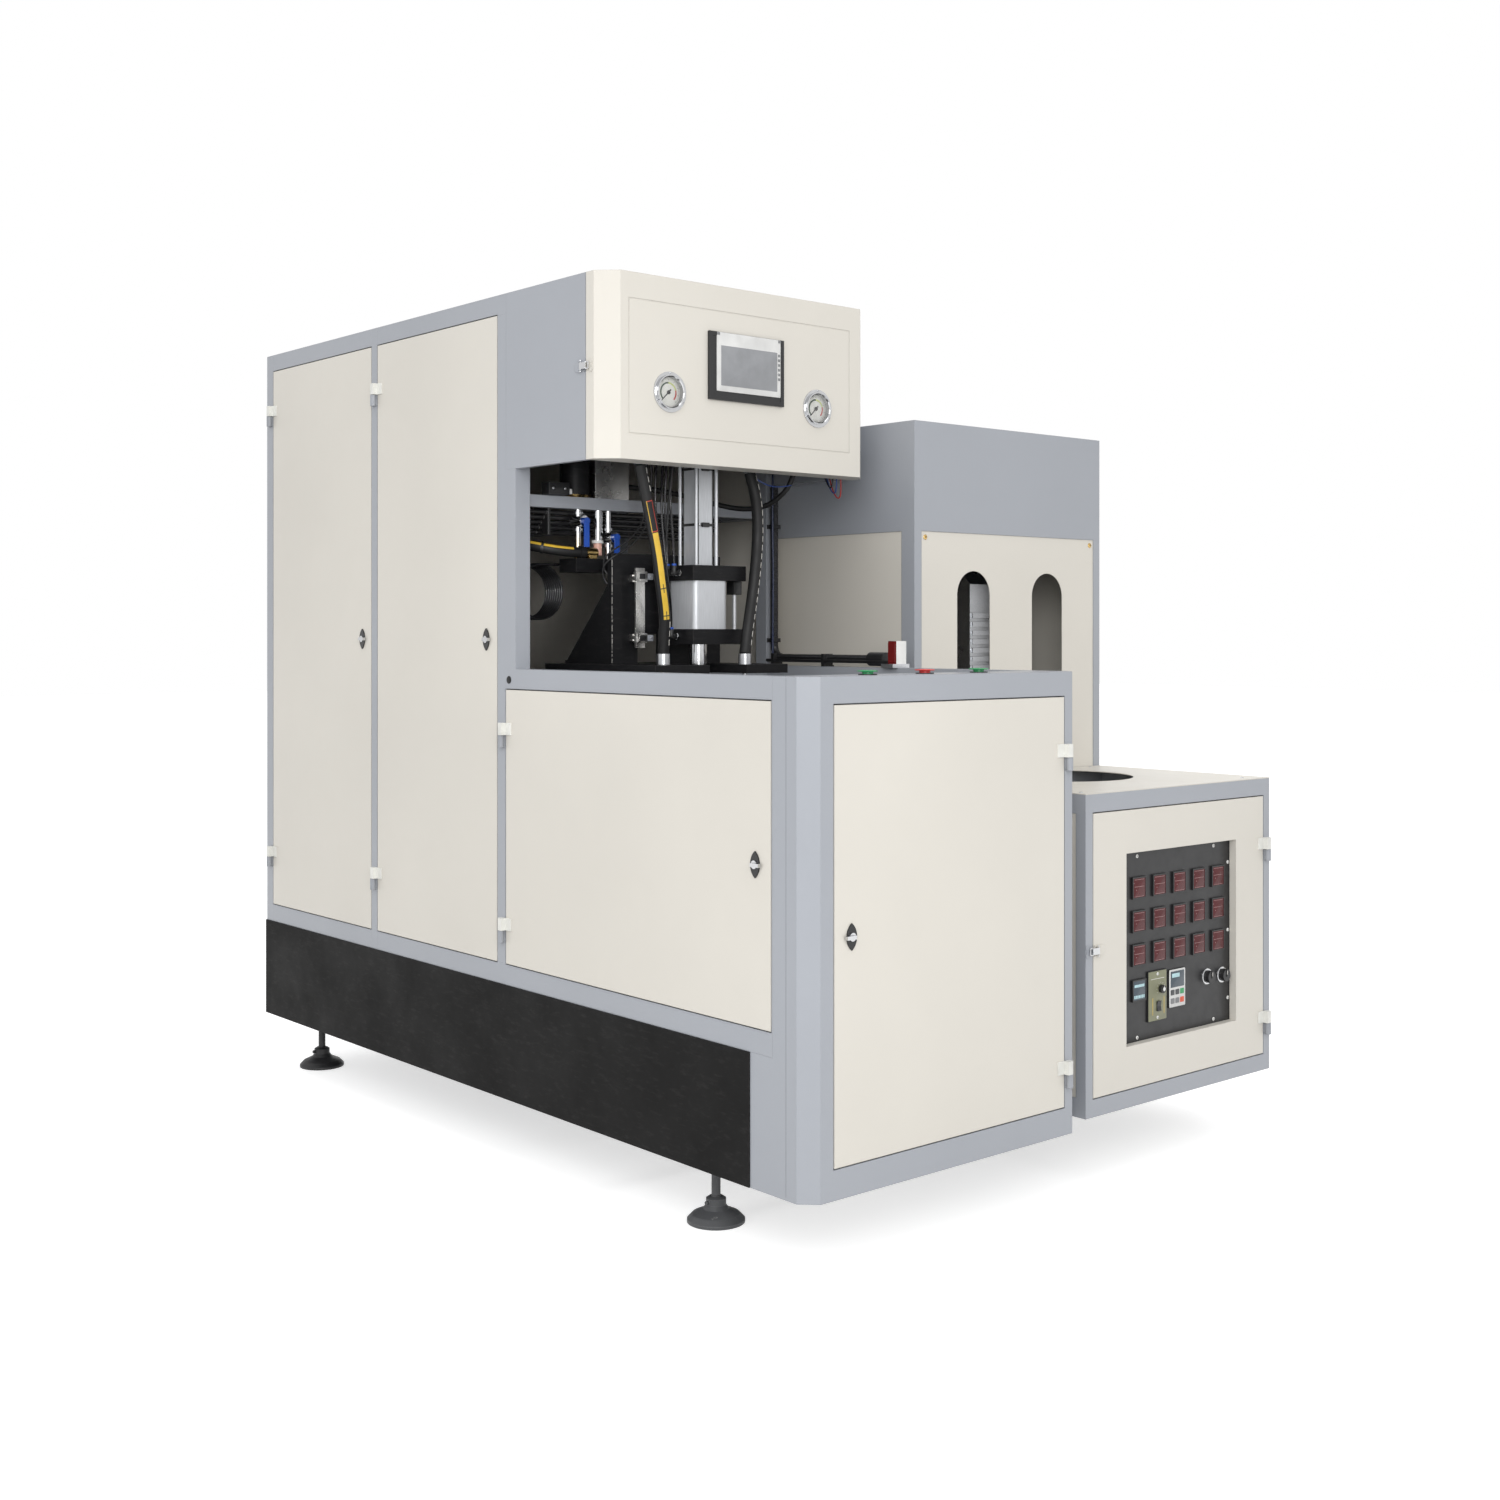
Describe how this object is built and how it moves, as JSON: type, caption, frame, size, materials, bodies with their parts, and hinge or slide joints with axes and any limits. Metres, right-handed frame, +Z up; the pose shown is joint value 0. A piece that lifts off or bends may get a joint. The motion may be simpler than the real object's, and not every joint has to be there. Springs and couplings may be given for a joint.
{
  "type": "blow moulding machine",
  "caption": "Semi-automatic stretch blow moulder with cabinet, hinged doors, hooded head and mould clamp, beside an infrared preform heater with arched oven openings",
  "frame": {"origin": "on the floor under the middle of the whole machine", "axes": "+X to the right seen from the front, +Y from the front to the back, +Z up"},
  "size_m": [1.53, 2.1926, 1.908],
  "materials": {
    "frame_paint": "semi-gloss powder coat",
    "cream_paint": "semi-gloss powder coat",
    "black_paint": "satin powder coat",
    "steel": "bright zinc or brushed",
    "chrome": "polished",
    "aluminium": "machined and anodised",
    "rubber": "matt",
    "plastic": "satin",
    "black_plastic": "satin moulded",
    "blue_plastic": "vinyl coating",
    "button_plastic": "moulded"
  },
  "bodies": {
    "machine_body": {"main_frame": "frame_paint", "front_apron": "frame_paint", "base_skirt": "black_paint", "cover_panels": "cream_paint", "head_cover": "frame_paint", "hinge_pins": "steel", "rail_tray": "steel", "blow_column": "black_paint", "blow_cylinders": "aluminium", "sensor_rail": "steel", "air_hose_left": "rubber", "air_hose_right": "rubber", "hose_fittings": "steel", "feed_hose": "rubber", "tube_coil": "plastic", "wiring_harness": "rubber", "conduit": "plastic", "preform_sensor": "plastic", "pipe_fittings": "steel", "levelling_feet": "black_paint", "mould_clamp": "steel", "air_receiver": "frame_paint", "electrical_plate": "steel", "button_collars": "black_plastic", "heater_frame": "frame_paint", "heater_panels": "cream_paint", "oven_front": "cream_paint", "control_panel": "black_plastic", "panel_meters": "black_plastic", "lamp_bank": "steel"},
    "rear_side_door": {"rear_side_door": "cream_paint"},
    "rear_side_lock": {"rear_side_lock": "black_plastic"},
    "tall_side_door": {"tall_side_door": "cream_paint"},
    "tall_side_lock": {"tall_side_lock": "black_plastic"},
    "low_side_door": {"low_side_door": "cream_paint"},
    "low_side_lock": {"low_side_lock": "black_plastic"},
    "front_door": {"front_door": "cream_paint"},
    "front_lock": {"front_lock": "black_plastic"},
    "head_hood": {"head_hood": "cream_paint", "touch_panel": "black_plastic", "pressure_gauges": "steel"},
    "gauge_needle_left": {"gauge_needle_left": "black_plastic"},
    "gauge_needle_right": {"gauge_needle_right": "black_plastic"},
    "head_latch_lever": {"head_latch_lever": "steel"},
    "heater_door": {"heater_door": "cream_paint"},
    "heater_latch_lever": {"heater_latch_lever": "steel"},
    "button_left": {"button_left": "button_plastic"},
    "button_middle": {"button_middle": "button_plastic"},
    "button_right": {"button_right": "button_plastic"},
    "mould_left": {"mould_left": "aluminium"},
    "mould_right": {"mould_right": "aluminium"},
    "seal_rod": {"seal_rod": "chrome"},
    "stretch_rod": {"stretch_rod": "chrome"},
    "valve_handle_left": {"valve_handle_left": "blue_plastic"},
    "valve_handle_right": {"valve_handle_right": "blue_plastic"},
    "speed_knob": {"speed_knob": "black_plastic"},
    "panel_knob_left": {"panel_knob_left": "black_plastic"},
    "panel_knob_right": {"panel_knob_right": "black_plastic"},
    "rocker": {"rocker": "black_plastic"},
    "preform_carousel": {"preform_carousel": "steel"}
  },
  "joints": [
    {"name": "rear_side_door_hinge", "type": "hinge", "parent": "machine_body", "child": "rear_side_door", "pos_m": [-0.758, 1.06425, 0.555], "axis": [0, 0, -1], "range_deg": [0, 105]},
    {"name": "rear_side_lock_turn", "type": "hinge", "parent": "rear_side_door", "child": "rear_side_lock", "pos_m": [-0.75, 0.55775, 1.143], "axis": [-1, 0, 0], "range_deg": [0, 90]},
    {"name": "tall_side_door_hinge", "type": "hinge", "parent": "machine_body", "child": "tall_side_door", "pos_m": [-0.758, 0.49125, 0.555], "axis": [0, 0, -1], "range_deg": [0, 105]},
    {"name": "tall_side_lock_turn", "type": "hinge", "parent": "tall_side_door", "child": "tall_side_lock", "pos_m": [-0.75, -0.01525, 1.143], "axis": [-1, 0, 0], "range_deg": [0, 90]},
    {"name": "low_side_door_hinge", "type": "hinge", "parent": "machine_body", "child": "low_side_door", "pos_m": [-0.758, -0.08575, 0.501], "axis": [0, 0, -1], "range_deg": [0, 105]},
    {"name": "low_side_lock_turn", "type": "hinge", "parent": "low_side_door", "child": "low_side_lock", "pos_m": [-0.75, -0.93825, 0.729], "axis": [-1, 0, 0], "range_deg": [0, 90]},
    {"name": "front_door_hinge", "type": "hinge", "parent": "machine_body", "child": "front_door", "pos_m": [-0.0305, -1.08925, 0.254], "axis": [0, 0, 1], "range_deg": [0, 105]},
    {"name": "front_lock_turn", "type": "hinge", "parent": "front_door", "child": "front_lock", "pos_m": [-0.643, -1.08125, 0.602], "axis": [0, 1, 0], "range_deg": [0, 90]},
    {"name": "head_hood_hinge", "type": "hinge", "parent": "machine_body", "child": "head_hood", "pos_m": [0.026, -0.38975, 1.57], "axis": [0, 0, 1], "range_deg": [0, 65]},
    {"name": "gauge_needle_left_turn", "type": "hinge", "parent": "head_hood", "child": "gauge_needle_left", "pos_m": [-0.582, -0.46525, 1.666], "axis": [0, 1, 0], "range_deg": [0, 270], "stiffness_Nm_per_rad": 0.01},
    {"name": "gauge_needle_right_turn", "type": "hinge", "parent": "head_hood", "child": "gauge_needle_right", "pos_m": [-0.158, -0.46525, 1.666], "axis": [0, 1, 0], "range_deg": [0, 270], "stiffness_Nm_per_rad": 0.01},
    {"name": "head_latch_swing", "type": "hinge", "parent": "machine_body", "child": "head_latch_lever", "pos_m": [-0.756, -0.38625, 1.713], "axis": [0, 0, -1], "range_deg": [0, 120]},
    {"name": "heater_door_hinge", "type": "hinge", "parent": "machine_body", "child": "heater_door", "pos_m": [0.7475, -1.04725, 0.242], "axis": [0, 0, 1], "range_deg": [0, 105]},
    {"name": "heater_latch_swing", "type": "hinge", "parent": "heater_door", "child": "heater_latch_lever", "pos_m": [0.119, -1.04525, 0.483], "axis": [0, 0, 1], "range_deg": [0, 120]},
    {"name": "button_left_press", "type": "slide", "parent": "machine_body", "child": "button_left", "axis": [0, 0, -1], "range_m": [0, 0.004], "stiffness_N_per_m": 2000},
    {"name": "button_middle_press", "type": "slide", "parent": "machine_body", "child": "button_middle", "axis": [0, 0, -1], "range_m": [0, 0.004], "stiffness_N_per_m": 2000},
    {"name": "button_right_press", "type": "slide", "parent": "machine_body", "child": "button_right", "axis": [0, 0, -1], "range_m": [0, 0.004], "stiffness_N_per_m": 2000},
    {"name": "mould_left_slide", "type": "slide", "parent": "machine_body", "child": "mould_left", "axis": [-1, 0, 0], "range_m": [0, 0.08]},
    {"name": "mould_right_slide", "type": "slide", "parent": "machine_body", "child": "mould_right", "axis": [1, 0, 0], "range_m": [0, 0.08]},
    {"name": "seal_rod_slide", "type": "slide", "parent": "machine_body", "child": "seal_rod", "axis": [0, 0, -1], "range_m": [0, 0.045]},
    {"name": "stretch_rod_slide", "type": "slide", "parent": "machine_body", "child": "stretch_rod", "axis": [0, 0, -1], "range_m": [0, 0.28]},
    {"name": "valve_handle_left_turn", "type": "hinge", "parent": "machine_body", "child": "valve_handle_left", "pos_m": [-0.551, -0.12125, 1.412], "axis": [0, 1, 0], "range_deg": [0, 90]},
    {"name": "valve_handle_right_turn", "type": "hinge", "parent": "machine_body", "child": "valve_handle_right", "pos_m": [-0.466, -0.12125, 1.378], "axis": [0, 1, 0], "range_deg": [0, 90]},
    {"name": "speed_knob_turn", "type": "hinge", "parent": "machine_body", "child": "speed_knob", "pos_m": [0.364, -1.02625, 0.368], "axis": [0, 1, 0], "range_deg": [-135, 135]},
    {"name": "panel_knob_left_turn", "type": "hinge", "parent": "machine_body", "child": "panel_knob_left", "pos_m": [0.543, -1.02625, 0.372], "axis": [0, 1, 0], "range_deg": [-135, 135]},
    {"name": "panel_knob_right_turn", "type": "hinge", "parent": "machine_body", "child": "panel_knob_right", "pos_m": [0.601, -1.02625, 0.369], "axis": [0, 1, 0], "range_deg": [-135, 135]},
    {"name": "rocker_tilt", "type": "hinge", "parent": "machine_body", "child": "rocker", "pos_m": [0.355, -1.02225, 0.331], "axis": [1, 0, 0], "range_deg": [-8, 8]},
    {"name": "preform_carousel_turn", "type": "hinge", "parent": "machine_body", "child": "preform_carousel", "pos_m": [0.424, -0.18125, 0.86], "axis": [0, 0, 1], "continuous": true}
  ],
  "couplings": [
    {"joint": "mould_right_slide", "follows": "mould_left_slide", "ratio": 1}
  ]
}
